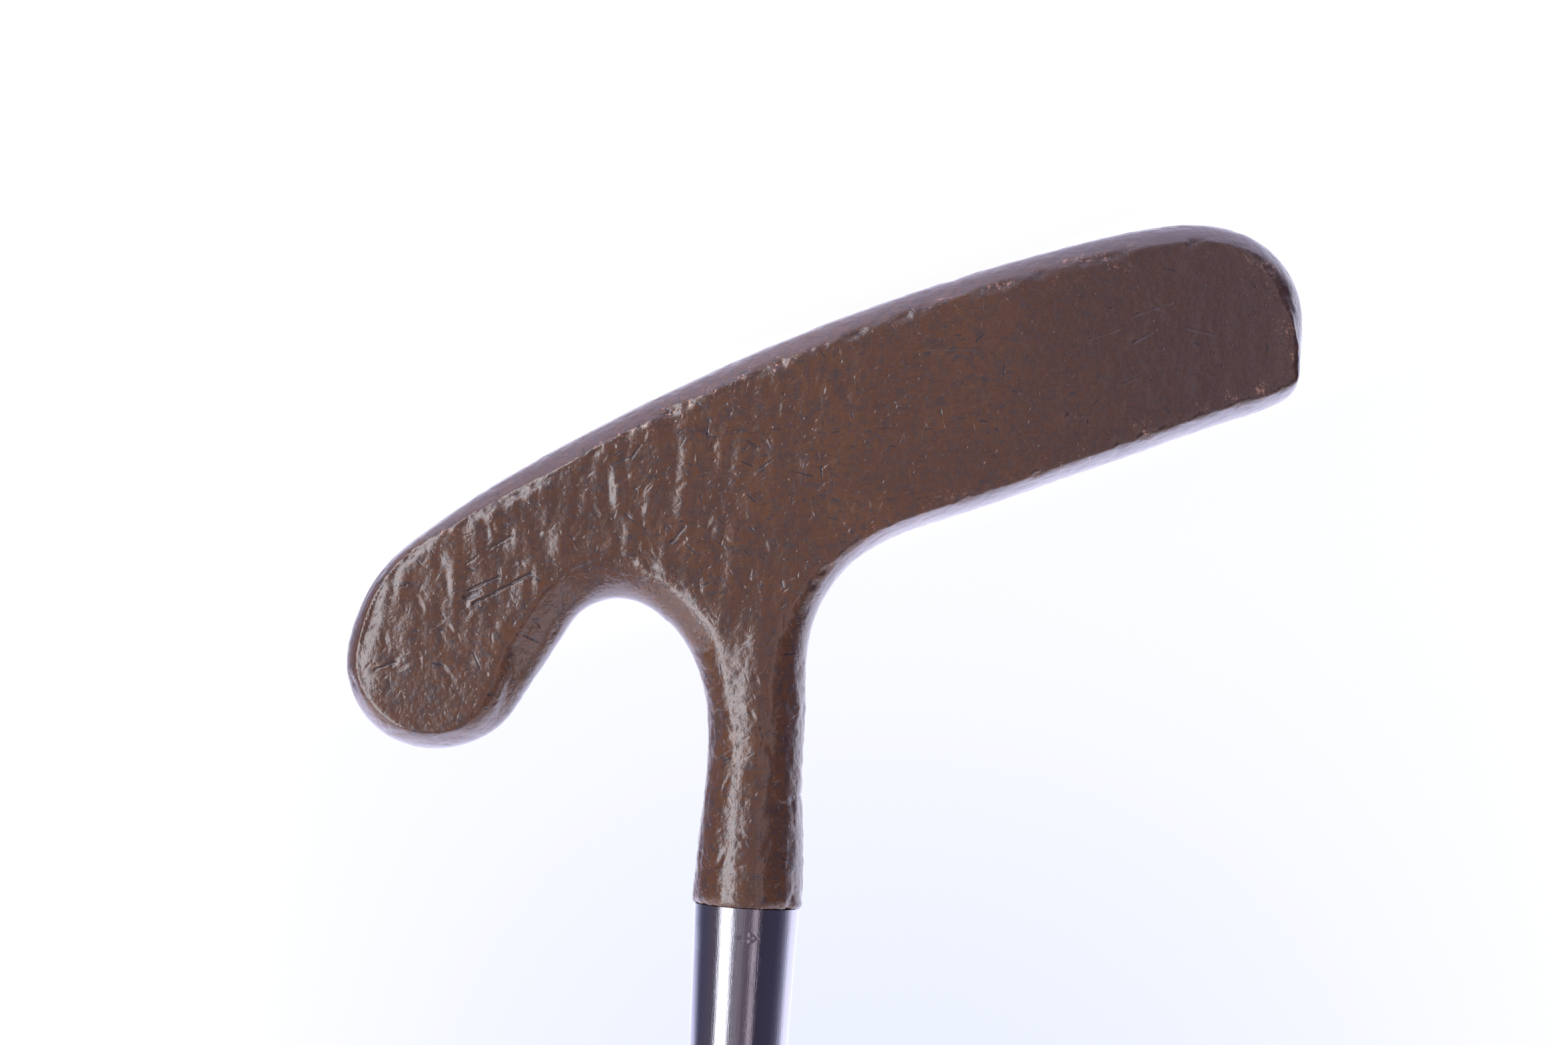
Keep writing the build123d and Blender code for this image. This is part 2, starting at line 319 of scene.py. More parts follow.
heelward, lensward, shaftward = (along(room, direction, axis) for axis in (-TOEWARD, FRONT, UP_SHAFT))
turned = heelward.math("ARCTAN2", heelward, lensward) / (2 * math.pi) + 0.5
stops = [(angle / 360 + 0.5, colour) for angle, colour in ROOM_STOPS]
glow = room.add("ShaderNodeValToRGB", {"Fac": turned}, stops=stops)
table = (shaftward * 0.8 - lensward).step(0.48, 0.86) * shaftward.step(0.02, 0.3)
glow = room.mix(table, glow, TABLE_GLOW)
side_table = (shaftward * 0.6 + heelward.math("ABSOLUTE", heelward) * 0.8).step(0.74, 1.0) * shaftward.step(0.2, 0.45)
glow = room.mix(side_table, glow, SIDE_GLOW)
under = shaftward.step(-0.35, -0.8) * (0.35 + 0.65 * lensward.step(0.55, 0.1))  # weaker towards the lens
glow = room.mix(under, glow, UNDER_GLOW)
sideness, lowness = along(room, direction, picture_right), along(room, direction, -picture_up)
middle = (1.0 - (sideness - 0.06) * (sideness - 0.06) * 8.0).clamped()
tint = middle * (0.25 + 0.75 * lowness.step(0.0, 0.34))
pale = room.mix(tint, (1.01, 1.01, 1.01), (0.84, 0.885, 1.0))
seen = room.add("ShaderNodeLightPath", output="Is Camera Ray")
backdrop = room.add("ShaderNodeBackground", {"Color": room.mix(seen, glow, pale), "Strength": 1.0})
room.add("ShaderNodeOutputWorld", {"Surface": backdrop})

# %% [markdown]
# The window is an area light, because a near light falls off along the club and a world doesn't. Real windows fade
# at their edges, so its emission is shaped across its width by a smooth hump.

# %% The soft window
WINDOW_ANGLE = math.radians(42.5)
WINDOW_DISTANCE = 0.62
WINDOW_WIDTH = 0.56
WINDOW_HEIGHT = 1.3
WINDOW_GLOW = 3.0  # brightness at the middle of its width

window = bpy.data.objects.new("window", bpy.data.lights.new("window", "AREA"))
scene.collection.objects.link(window)
window.data.shape = "RECTANGLE"
window.data.size = WINDOW_WIDTH
window.data.size_y = WINDOW_HEIGHT
window.data.energy = WINDOW_GLOW * math.pi * WINDOW_WIDTH * WINDOW_HEIGHT
window.data.color = (0.97, 0.97, 1.04)
window.visible_camera = False
window.data.use_nodes = True
pane = Maker(window.data.node_tree)
window.data.node_tree.nodes.clear()
across = pane.parts(pane.add("ShaderNodeNewGeometry", output="Parametric"))[0]
hump = (across.step(0.02, 0.46) * across.step(0.98, 0.54)) ** 1.5
shine = pane.add("ShaderNodeEmission", {"Color": (1, 1, 1, 1), "Strength": hump})
pane.add("ShaderNodeOutputLight", {"Surface": shine})
towards = math.cos(WINDOW_ANGLE) * FRONT - math.sin(WINDOW_ANGLE) * TOEWARD
window_turn = Matrix((UP_SHAFT.cross(towards), UP_SHAFT, towards)).transposed().to_4x4()
window.matrix_world = Matrix.Translation(MOUTH + WINDOW_DISTANCE * towards - 0.05 * UP_SHAFT) @ window_turn
print("window stands at", [round(x, 2) for x in window.location], "m")

# %% [markdown]
# The floor is plain and pale. It is there for the lens and for the shadow at the sole. The ramp above already says
# what the bronze should reflect below it, and the window reaches under the floor, so the floor is hidden from
# everything but the lens.

# %% The floor
FLOOR_HALF = 3.0
FLOOR_FADE = (150, 340)  # from the club, in millimetres: beyond this the floor gives way to the backdrop

floor_mesh = bpy.data.meshes.new("floor")
corners = [(-1, -1), (1, -1), (1, 1), (-1, 1)]
floor_mesh.from_pydata([(x * FLOOR_HALF, y * FLOOR_HALF, -0.1 * MM) for x, y in corners], [], [(0, 1, 2, 3)])
floor = bpy.data.objects.new("floor", floor_mesh)
scene.collection.objects.link(floor)
ground = Finish("pale_floor")
cloudiness = ground.noise(ground.place, 220.0, 2)
ground.set(
    Base_Color=ground.mix(cloudiness, (0.07, 0.07, 0.072), (0.08, 0.08, 0.082)),
    Roughness=0.9,
    Emission_Color=(0.985, 0.99, 1.0, 1),
    Emission_Strength=0.97,
)
fading = ground.add("ShaderNodeVectorMath", {0: ground.place}, output="Value", operation="LENGTH").step(*FLOOR_FADE)
surface = Term(ground, ground.shader.outputs[0])
clear = ground.add("ShaderNodeBsdfTransparent")
mixed = ground.add("ShaderNodeMixShader", {0: fading, 1: surface, 2: clear})
output = next(n for n in ground.tree.nodes if n.type == "OUTPUT_MATERIAL")
ground.tree.links.new(mixed.socket, output.inputs["Surface"])
floor.visible_diffuse = floor.visible_glossy = floor.visible_transmission = floor.visible_shadow = False
floor.data.materials.append(ground.material)

scene.view_settings.view_transform = "Standard"
scene.view_settings.look = "None"

# %% [markdown]
# ## The bronze head
#
# The head is one casting, and its shape comes from the CAD. What the CAD lacks is its life: the face is rippled and
# dented, the border of the face is chipped, and the hosel is crinkled where it has rubbed against other clubs.
# A bump map alone would leave the outline smooth, so the dents are pressed into a fine mesh. The CAD mesh is
# closed and remeshed into even squares under half a millimetre wide, each new vertex is put back on the CAD's
# surface, and then it is pushed in along its normal by a sum of height fields.

# %% A fine, even copy of the head
VOXEL = 0.42 * MM
STUB = 0.4 * MM  # how much of the post is kept above the mouth, inside the tube


def link_mesh(name, mesh):
    piece = bpy.data.objects.new(name, mesh)
    scene.collection.objects.link(piece)
    return piece


def plain_mesh(piece):
    """The piece's mesh with its modifiers applied."""
    evaluated = piece.evaluated_get(bpy.context.evaluated_depsgraph_get())
    return bpy.data.meshes.new_from_object(evaluated)


cad_head = bmesh.new()
cad_head.from_mesh(frame["nodes"]["head"].data)
bmesh.ops.remove_doubles(cad_head, verts=cad_head.verts, dist=1e-6)
everything = cad_head.verts[:] + cad_head.edges[:] + cad_head.faces[:]
cut = MOUTH + STUB * UP_SHAFT
bmesh.ops.bisect_plane(cad_head, geom=everything, plane_co=cut, plane_no=UP_SHAFT, clear_outer=True)
bmesh.ops.holes_fill(cad_head, edges=[e for e in cad_head.edges if e.is_boundary])
open_edges = sum(e.is_boundary for e in cad_head.edges)
head_surface = BVHTree.FromBMesh(cad_head)
head = link_mesh("bronze_head", bpy.data.meshes.new("bronze_head"))
cad_head.to_mesh(head.data)
remesh = head.modifiers.new("even", "REMESH")
remesh.mode = "VOXEL"
remesh.voxel_size = VOXEL
head.data = plain_mesh(head)
head.modifiers.clear()
print("head:", len(head.data.vertices), "vertices; open edges in the copy:", open_edges)

# %% [markdown]
# Some marks are remembered one by one: a pair of deep gouges at the heel and a dozen faint strokes near the toe.
# They are thinner than the mesh's squares, so the squares near them are divided twice, and only there.

# %% Strokes as (toe, height, toe, height, half width, depth)
STROKES = [
    (-28.5, -38.1, -35.1, -34.0, 0.15, 0.11),
    (-32.2, -37.6, -35.8, -35.6, 0.12, 0.10),
    (-34.6, -35.3, -36.0, -34.8, 0.30, 0.08),
    (-31.0, -42.6, -33.6, -40.8, 0.09, 0.05),
    (-35.0, -39.8, -36.4, -38.7, 0.08, 0.05),
    (-44.0, -26.5, -46.3, -25.4, 0.12, 0.10),
    (-16.3, -54.6, -17.3, -52.9, 0.10, 0.05),
    (-10.2, -44.9, -11.7, -43.0, 0.13, 0.06),
    (18.2, -68.7, 24.0, -69.0, 0.07, 0.02),
    (43.2, -74.4, 45.3, -75.2, 0.10, 0.03),
    (45.3, -75.2, 48.0, -76.3, 0.08, 0.03),
    (43.5, -71.1, 45.7, -72.4, 0.09, 0.03),
    (50.0, -73.3, 53.6, -72.6, 0.09, 0.03),
    (38.1, -71.2, 41.5, -72.5, 0.07, 0.02),
    (42.2, -65.7, 44.9, -67.1, 0.07, 0.02),
    (35.9, -61.6, 38.7, -61.5, 0.07, 0.02),
]

STROKE_MARGINS = (0.9, 0.45)  # how far from a stroke the squares are divided, first and second time
STROKE_DARKEST = 0.12


def stroke_gaps(points):
    """The distance to each stroke, in millimetres, of addresses on the front face: one row for each stroke."""
    gaps = []
    for toe_a, height_a, toe_b, height_b, *_ in STROKES:
        start, end = np.array([toe_a, height_a]), np.array([toe_b, height_b])
        run = end - start
        share = np.clip((points[:, :2] - start) @ run / (run @ run), 0, 1)
        gaps.append(np.linalg.norm(points[:, :2] - start - np.outer(share, run), axis=1))
    return np.array(gaps)


finer = bmesh.new()
finer.from_mesh(head.data)
for margin in STROKE_MARGINS:
    middles = np.array([(e.verts[0].co + e.verts[1].co) / 2 for e in finer.edges])
    places = address(middles)
    close = (stroke_gaps(places).min(axis=0) < margin) & (places[:, 2] > 3)
    finer.edges.ensure_lookup_table()
    picked = [finer.edges[i] for i in np.flatnonzero(close)]
    bmesh.ops.subdivide_edges(finer, edges=picked, cuts=1, use_grid_fill=True)
bmesh.ops.triangulate(finer, faces=[f for f in finer.faces if len(f.verts) > 4])
finer.to_mesh(head.data)
finer.free()
print(len(STROKES), "strokes; vertices now:", len(head.data.vertices))

# %% [markdown]
# The border of the flat face is where the wear collects, so each vertex needs to know how far it is from it. The
# border is the CAD's only sharp edge apart from the mouth: its edges turn by more than a few degrees. Points
# strung along those edges go into a k-d tree, which answers "how far is the nearest one?" quickly.

# %% Distance to the border of the face
BORDER_TURN = math.radians(18)
BORDER_SPACING = 0.25 * MM

border_points = []
for edge in cad_head.edges:
    if len(edge.link_faces) == 2 and edge.calc_face_angle() > BORDER_TURN:
        start, end = edge.verts[0].co, edge.verts[1].co
        steps = max(1, int((end - start).length / BORDER_SPACING))
        border_points += [start.lerp(end, (i + 0.5) / steps) for i in range(steps)]
border = KDTree(len(border_points))
for i, point in enumerate(border_points):
    border.insert(point, i)
border.balance()
print("border points:", len(border_points))

surface_points = []
border_gap = []
for vertex in head.data.vertices:
    place, normal, face_index, gap = head_surface.find_nearest(vertex.co)
    surface_points.append(place)
    border_gap.append(border.find(place)[2] / MM)
surface_points = np.array(surface_points)
border_gap = np.array(border_gap)
head.data.vertices.foreach_set("co", surface_points.ravel())
head.data.update()


def step(values, low, high):
    """0 at low and 1 at high, with a smooth rise between them."""
    share = np.clip((values - low) / (high - low), 0, 1)
    return share * share * (3 - 2 * share)


# %% [markdown]
# Between the blade and the hosel a casting has no edges: the pattern maker fills them with wax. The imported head
# is a blade and a turned hosel joined, so their meeting is smoothed here. A vertex group says where, and by how
# much, and it fades out before the mouth and before the face's border.

# %% Blend the blade into the hosel
NECK_PASSES = 90

neck_toe, neck_height = address(surface_points).T[:2]
neck = step(neck_height, -43, -35) * step(neck_height, -7, -15) * (np.abs(neck_toe) < 12)
group = head.vertex_groups.new(name="neck")
for i in np.flatnonzero(neck > 0):
    group.add([int(i)], float(neck[i]), "REPLACE")
blend = head.modifiers.new("blend", "SMOOTH")
blend.vertex_group = "neck"
blend.factor = 0.5
blend.iterations = NECK_PASSES
head.data = plain_mesh(head)
head.modifiers.clear()
head.vertex_groups.clear()
surface_points = mesh_points(head.data)
normals = np.array([v.normal for v in head.data.vertices])
print("neck vertices:", int((neck > 0).sum()))
toe, height, front = address(surface_points).T
facing = normals @ AXES.T
cad_head.free()
print("vertices within 1 mm of the border:", int((border_gap < 1).sum()))

# %% [markdown]
# Height fields are made of two things. Lumpy noise on a lattice gives ripples when its cells are long one way. Single
# dents are soft ellipses pressed at an address, some listed one by one, because the big ones are what an eye
# remembers, and many more scattered with a fixed seed.


# %% Ripples and dents
def lumps(points, cell, seed):
    """Smooth noise from -1 to 1. cell is the size of its lumps along the three directions."""
    table = np.random.default_rng(seed).uniform(-1, 1, (31, 31, 31))
    scaled = points / np.array(cell)
    low = np.floor(scaled).astype(int)
    share = scaled - low
    share = share * share * (3 - 2 * share)
    total = np.zeros(len(points))
    for corner in itertools.product((0, 1), repeat=3):
        weight = np.prod(np.where(corner, share, 1 - share), axis=1)
        total += weight * table[tuple(((low + corner) % 31).T)]
    return total


spots = np.stack([toe, height, front], axis=1)
on_face = step(np.abs(facing[:, 2]), 0.93, 0.995) * step(height, -22, -34)
heel_side = step(toe, 24, -12)
sunk = np.zeros(len(spots))


def creased(values):
    """Noise folded over at zero, which gives rounded hollows with sharp ridges between them."""
    return 1 - 2 * np.abs(values)


ripple = creased(lumps(spots, (2.1, 6.0, 5.0), 11)) + 0.5 * lumps(spots, (0.9, 3.0, 5.0), 12)
sunk += on_face * (0.016 + 0.115 * heel_side) * ripple
sunk += 0.03 * lumps(spots, (5.0, 6.0, 4.0), 13)
sunk += 0.016 * lumps(spots, (0.8, 0.8, 0.8), 14)

on_hosel = step(height, -33, -25) * (height < 0)
around = np.arctan2(toe, front) * 6.0
sleeve = np.stack([around, height, spots[:, 2] * 0], axis=1)
sunk += on_hosel * 0.055 * creased(lumps(sleeve, (1.5, 2.6, 1.0), 21))
sunk += on_hosel * 0.042 * creased(lumps(sleeve, (0.9, 1.1, 1.0), 22))
sunk += on_hosel * step(toe, 2.5, 5.0) * 0.08 * creased(lumps(sleeve, (2.2, 3.0, 1.0), 23))
print("ripples sink the surface by up to", round(float(sunk.max()), 2), "mm")

# %% Dents listed one by one, as (toe, height, angle, length, width, depth)
FACE_DENTS = [
    (-19.7, -48.6, 102, 3.4, 0.75, 0.30),
    (-19.7, -53.2, 94, 1.5, 0.22, 0.12),
    (-17.5, -47.9, 80, 1.0, 0.28, 0.12),
    (-13.9, -46.4, 92, 1.4, 0.45, 0.14),
    (-13.2, -42.2, 90, 1.6, 0.35, 0.12),
    (-24.2, -43.5, 84, 1.5, 0.5, 0.13),
    (-34.3, -42.5, 96, 2.4, 0.8, 0.20),
    (-31.5, -45.0, 98, 2.2, 0.3, 0.12),
    (-37.0, -43.6, 60, 1.5, 0.8, 0.20),
    (-39.6, -38.9, 96, 1.6, 0.9, 0.22),
    (-38.4, -36.0, 98, 2.2, 0.5, 0.20),
    (-38.2, -29.0, 8, 0.8, 0.35, 0.14),
    (-36.3, -27.9, 4, 0.9, 0.22, 0.10),
    (-36.3, -23.5, 118, 2.0, 0.3, 0.14),
    (-32.4, -31.4, 100, 1.0, 0.4, 0.12),
    (-36.0, -33.8, 96, 1.0, 0.4, 0.10),
    (-28.9, -49.2, 138, 0.8, 0.4, 0.16),
    (-9.2, -55.5, 120, 0.5, 0.35, 0.16),
    (-8.2, -55.9, 96, 0.6, 0.3, 0.16),
    (-7.0, -57.3, 110, 0.7, 0.4, 0.18),
    (-2.3, -54.2, 76, 0.6, 0.15, 0.10),
    (7.6, -55.0, 72, 0.6, 0.15, 0.10),
    (17.9, -57.5, 90, 2.4, 0.5, 0.05),
    (0.9, -41.8, 60, 0.6, 0.2, 0.12),
    (-6.8, -44.9, 60, 0.8, 0.25, 0.10),
]
FACE_CUTS = [
    (-33.4, -41.2, 30, 2.6, 0.13, 0.10),
    (-28.8, -43.0, 96, 1.3, 0.14, 0.12),
    (-37.2, -24.8, 84, 1.1, 0.14, 0.10),
    (-38.2, -21.2, 44, 0.9, 0.18, 0.12),
    (-20.6, -41.3, 130, 1.0, 0.16, 0.12),
]
ROW_START, ROW_END, ROW_DENTS = (-13.4, -57.2), (-6.9, -60.6), 10


def press(field, mask, centre, angle, length, width, depth):
    """Adds a soft elliptical dent at a (toe, height) address on the front face."""
    turn = math.radians(angle)
    along = (toe - centre[0]) * math.cos(turn) - (height - centre[1]) * math.sin(turn)
    across = (toe - centre[0]) * math.sin(turn) + (height - centre[1]) * math.cos(turn)
    pit = np.exp(-((along / length) ** 2) * 1.4) * np.exp(-((across / width) ** 2) * 1.4)
    lip = np.exp(-((along / length) ** 2) * 1.2) * np.exp(-((across / width / 2.2) ** 2) * 1.4)
    field += mask * depth * (1.25 * pit - 0.25 * lip)


front_mask = (front > 2).astype(float) * step(facing[:, 2], 0.7, 0.9)
cuts = np.zeros(len(spots))
for dent_toe, dent_height, angle, length, width, depth in FACE_DENTS:
    press(sunk, front_mask, (dent_toe, dent_height), angle, length, width, depth)
for cut_toe, cut_height, angle, length, width, depth in FACE_CUTS:
    press(cuts, front_mask, (cut_toe, cut_height), angle, length, width, depth)
gaps = stroke_gaps(spots)
wobble = 1 + 0.35 * lumps(spots, (0.8, 0.8, 0.8), 41)
for gap, (*_, half_width, depth) in zip(gaps, STROKES):
    mark = step(gap * wobble / half_width, 1.5, 0.5) * front_mask
    cuts = np.maximum(cuts, mark * min(STROKE_DARKEST, 0.05 + depth * 0.6))
    sunk += mark * depth
for i in range(ROW_DENTS):
    share = i / (ROW_DENTS - 1)
    centre = [a + (b - a) * share for a, b in zip(ROW_START, ROW_END)]
    press(sunk, front_mask, centre, 90, 0.32, 0.26, 0.15)
sunk += cuts
print(len(FACE_DENTS), "dents,", len(FACE_CUTS), "cuts and a row of", ROW_DENTS)

# %% Dents scattered all over
DENT_COUNT = 420

rng = np.random.default_rng(7)
for i in rng.choice(len(spots), DENT_COUNT, replace=False):
    out = facing[i]
    sideways = np.cross(out, rng.normal(size=3))
    sideways /= np.linalg.norm(sideways)
    other = np.cross(out, sideways)
    length = rng.uniform(0.5, 2.2)
    width = length * rng.uniform(0.2, 0.6)
    depth = rng.uniform(0.02, 0.09) * (1.6 if abs(height[i] + 15) < 15 else 1.0)  # deeper on the hosel
    away_from = spots - spots[i]
    near = np.abs(away_from @ out) < 1.5
    along = away_from @ sideways / length
    across = away_from @ other / width
    sunk += near * depth * np.exp(-1.4 * (along**2 + across**2))

# %% [markdown]
# The border is chipped rather than rounded. Noise with cells of about a millimetre decides how deep each chip
# goes, and the distance to the border fades it out. At the heel's end the border is also rolled over, in a band
# two millimetres wide that catches the window.

# %% Chips along the border, and the hosel's mouth
CHIP_DEPTH = 0.34
CHIP_REACH = 0.55
ROLL_WIDTH = 2.6
ROLL_DEPTH = 0.42

near_border = np.exp(-((border_gap / CHIP_REACH) ** 2)) * step(height, -34, -39)
chips = 0.7 * lumps(spots, (0.9, 0.9, 1.5), 31) + 0.9 * lumps(spots, (2.2, 2.2, 3.0), 32)
on_walls = step(np.abs(facing[:, 2]), 0.9, 0.75) * step(height, -34, -38)
sunk += on_walls * 0.035 * creased(lumps(spots, (1.6, 1.6, 1.4), 33))
sunk += near_border * CHIP_DEPTH * np.clip(0.35 + chips, 0, 1.6)
heel_end = step(toe, -41.5, -44.5) * step(height, -44, -39) * step(height, -21, -25) * (front > 0)
roll = np.clip(1 - border_gap / ROLL_WIDTH, 0, 1) ** 2
sunk += heel_end * front_mask * roll * ROLL_DEPTH

burr = np.exp(-(((toe + 6.4) / 0.5) ** 2)) * np.exp(-(((height + 0.4) / 0.35) ** 2))
lip = np.exp(-(((toe - 6.3) / 0.7) ** 2)) * np.exp(-(((height + 0.5) / 0.4) ** 2))
sunk -= 0.22 * burr + 0.28 * lip
ring = np.exp(-(((height + 12.0 + 0.12 * (toe - 2.5) ** 2) / 0.28) ** 2)) * step(toe, -2, 0) * on_hosel
sunk += 0.12 * ring

moved = surface_points - normals * (sunk * MM)[:, None]
head.data.vertices.foreach_set("co", moved.ravel())
head.data.update()
head.data.shade_smooth()
print("deepest point", round(float(sunk.max()), 2), "mm; highest", round(float(-sunk.min()), 2), "mm")

# %% Facts the finish will read from the mesh
WORN_REACH = 1.5
DEEPEST_CUT, DEEPEST_PIT = 0.16, 0.25

wear = {
    "border": np.exp(-((border_gap / WORN_REACH) ** 2)) * step(height, -32, -38),
    "cuts": np.clip(cuts / DEEPEST_CUT, 0, 1),
    "pits": np.clip(sunk / DEEPEST_PIT, 0, 1),
}
for name, values in wear.items():
    attribute = head.data.attributes.new(name, "FLOAT", "POINT")
    attribute.data.foreach_set("value", values.astype(np.float32))

# %% [markdown]
# ### The patina
#
# Old bronze isn't gold. A hard, glossy skin hides the metal: orange brown underneath, with a film of grey dirt
# worn through in patches. The gloss is stronger than lacquer's, so the index of refraction is set well above
# the usual 1.5, which also makes every side that turns away go pale. The window breaks up in it because it is
# covered with thousands of nicks, each a small soft dent with one sharp side. Bare copper shows only in specks
# along the border.


# %% Nicks, scratches and specks
def nicks(finish, place, cell, length, width, angle, seed):
    """One small dent in each cell of a random lattice: 1 at its bottom and 0 outside. Sizes are millimetres."""
    shifted = finish.add("ShaderNodeMapping", {"Vector": place, "Location": (seed, 2.3 * seed, 4.1 * seed)})
    lattice = finish.add("ShaderNodeTexVoronoi", {"Vector": shifted, "Scale": 1 / cell}).socket.node
    middle = Term(finish, lattice.outputs["Position"])
    chance = finish.parts(Term(finish, lattice.outputs["Color"]))
    local = finish.parts(finish.add("ShaderNodeVectorMath", {0: shifted, 1: middle}, operation="SUBTRACT"))
    heading = (chance[0] - 0.5) * 2.4 + angle
    cosine, sine = heading.math("COSINE", heading), heading.math("SINE", heading)
    along_nick = (local[0] * cosine + local[2] * sine) / (length * (0.4 + chance[1]))
    across_nick = (local[2] * cosine - local[0] * sine) / (width * (0.5 + chance[2]))
    reach = (along_nick * along_nick + across_nick * across_nick) ** 0.5
    return (1.0 - reach).clamped() * chance[2].step(0.15, 0.45)


bronze = Finish("worn_bronze")
club = shaft_place(bronze)
from_heel, _, upshaft = bronze.parts(club)
border_wear = bronze.add("ShaderNodeAttribute", output="Fac", attribute_name="border")
cut_marks = bronze.add("ShaderNodeAttribute", output="Fac", attribute_name="cuts")
pit_marks = bronze.add("ShaderNodeAttribute", output="Fac", attribute_name="pits")
clouds = bronze.noise(club, 9.0, 3)
brushed = bronze.noise(bronze.stretched(club, (5.0, 1.0, 0.5)), 1.0, 4, 0.6)
slanted = bronze.add("ShaderNodeMapping", {"Vector": club, "Rotation": (0, math.radians(12), 0)})
dragged = bronze.noise(bronze.stretched(slanted, (0.35, 1.0, 2.6)), 1.0, 5, 0.65)
mottle = bronze.noise(club, 1.1, 5, 0.68)
fine = bronze.noise(club, 0.3, 3, 0.6)
warped = bronze.add("ShaderNodeVectorMath", {0: club, 1: bronze.noise(club, 1.5, 2)}, operation="ADD")
crumple = bronze.add("ShaderNodeTexVoronoi", {"Vector": warped, "Scale": 1.25}, output="Distance")
battered = bronze.noise(club, 4.5, 2)
toe_calm = from_heel.step(-62, 8) * 0.65 + 0.35
small_nicks = nicks(bronze, club, 1.9, 0.7, 0.20, 1.2, 3.0) * battered.step(0.42, 0.62) * toe_calm
ticks = nicks(bronze, club, 1.25, 0.34, 0.11, 0.4, 7.0) * battered.step(0.6, 0.44)
large_nicks = nicks(bronze, club, 4.1, 1.4, 0.42, 1.3, 11.0) * toe_calm
dark_nicks = nicks(bronze, club, 3.6, 1.2, 0.15, -0.4, 17.0) * battered.step(0.38, 0.56)
print("bronze nodes so far:", len(bronze.tree.nodes))

# %% The bronze finish
SKIN = (0.178, 0.073, 0.028)
SKIN_WARM = (0.215, 0.088, 0.028)
SKIN_DEEP = (0.10, 0.042, 0.016)
FILM = (0.100, 0.066, 0.058)
DIRT = (0.03, 0.026, 0.034)
COPPER = (0.80, 0.47, 0.34)

skin = bronze.mix(clouds.step(0.35, 0.65), SKIN, SKIN_WARM)
film = mottle.step(0.44, 0.66) * 0.7 + brushed.step(0.48, 0.7) * 0.35 + dragged.step(0.5, 0.68) * 0.45
skin = bronze.mix(film.clamped(), skin, FILM)
skin = bronze.mix(dragged.step(0.44, 0.32) * 0.6, skin, SKIN_DEEP)
skin = bronze.mix(fine.step(0.44, 0.28) * mottle.step(0.4, 0.6) * 0.85, skin, DIRT)
skin = bronze.mix(dragged.step(0.62, 0.74) * mottle.step(0.45, 0.58) * 0.7, skin, DIRT)
# Painted shade: the skin darkens towards the toe, standing in for the window's light falling off along the head.
skin = bronze.mix(from_heel.step(-10, -56) * 0.75, skin, (0.075, 0.036, 0.030))
skin = bronze.mix(dark_nicks.step(0.05, 0.5) * clouds.step(0.42, 0.52) * 0.85, skin, DIRT)
skin = bronze.mix((small_nicks + ticks).clamped() * 0.25, skin, (0.06, 0.04, 0.035))
skin = bronze.mix(cut_marks * 0.88, skin, (0.022, 0.017, 0.02))
# The skin darkens where the surface is pressed in deeper, ripples and chips included.
skin = bronze.mix(pit_marks * 0.3, skin, (0.06, 0.036, 0.03))
specks = bronze.noise(club, 0.42, 3, 0.7).step(0.55, 0.66) * bronze.noise(club, 2.6, 1).step(0.5, 0.66)
sole_side = upshaft.step(-50, -62)
specks = specks * (0.4 + sole_side)
copper = (specks * border_wear * 1.5 + ticks.step(0.5, 0.9) * 0.5 * fine.step(0.5, 0.6)).clamped()
skin = bronze.mix(copper, skin, COPPER)
bronze.set(
    Base_Color=skin,
    Metallic=(copper * 0.8).clamped(),
    Roughness=(0.08 + 0.14 * mottle + 0.10 * fine + 0.2 * cut_marks).clamped(),
    IOR=2.05,
    Coat_Weight=0.5,
    Coat_Roughness=0.08,
    Sheen_Weight=0.42,
    Sheen_Roughness=0.28,
    Sheen_Tint=(0.9, 0.88, 1.0, 1),
)
relief = brushed * 0.16 + dragged * 0.3 + mottle * 0.6 + fine * 0.30 - crumple * 0.6
relief = relief - small_nicks * 0.8 - ticks * 0.5 - large_nicks * 1.1 - dark_nicks * 0.5
bronze.bump(relief, 1.0, 0.085)
head.data.materials.clear()
head.data.materials.append(bronze.material)
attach(head, "root")
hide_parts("head")

# %% [markdown]
# ## The shaft
#
# The tube is chromed steel: flared where it meets the hosel, plain in the middle and stepped towards the grip. A
# mirror shows every flat in a mesh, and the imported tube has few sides. So the tube is turned again with 256 sides.
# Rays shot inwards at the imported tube, on the side away from its stake mark, measure its radius. The stake mark
# is one blow of a pointed punch that stops the tube from working loose, and it is pressed into the new mesh.

# %% Measure the tube and turn it again
TUBE_SIDES = 256
WALL = 0.6
STAKE_MIDDLE, STAKE_HALF, STAKE_DEPTH = (0.5, 3.35), (1.25, 0.75), 0.10


def node_surface(node):
    """A CAD node's surface, to shoot rays at."""
    mesh = frame["nodes"][node].data
    corners = [tuple(p.vertices) for p in mesh.polygons]
    return BVHTree.FromPolygons([v.co for v in mesh.vertices], corners)


def from_address(toe, height, front):
    """Addresses in millimetres back to points in the row frame."""
    return np.array(MOUTH) + MM * np.stack([toe, height, front], axis=-1) @ AXES


tube_surface = node_surface("shaft")
tube_heights = address(mesh_points(frame["nodes"]["shaft"].data))[:, 1]
levels, counts = np.unique(np.round(tube_heights, 1), return_counts=True)
rings = levels[counts >= 18]
rings = np.concatenate([rings - 0.03, rings + 0.03, np.arange(1.6, 6.0, 0.1), np.arange(10, 250, 10)])
rings = np.unique(np.clip(rings, 0.01, tube_heights.max() - 0.01))
profile = []
for level in rings:
    start = Vector(from_address(0.0, level, -20.0))
    place, normal, face_index, gap = tube_surface.ray_cast(start, FRONT)
    profile.append((level, 20.0 - gap / MM))


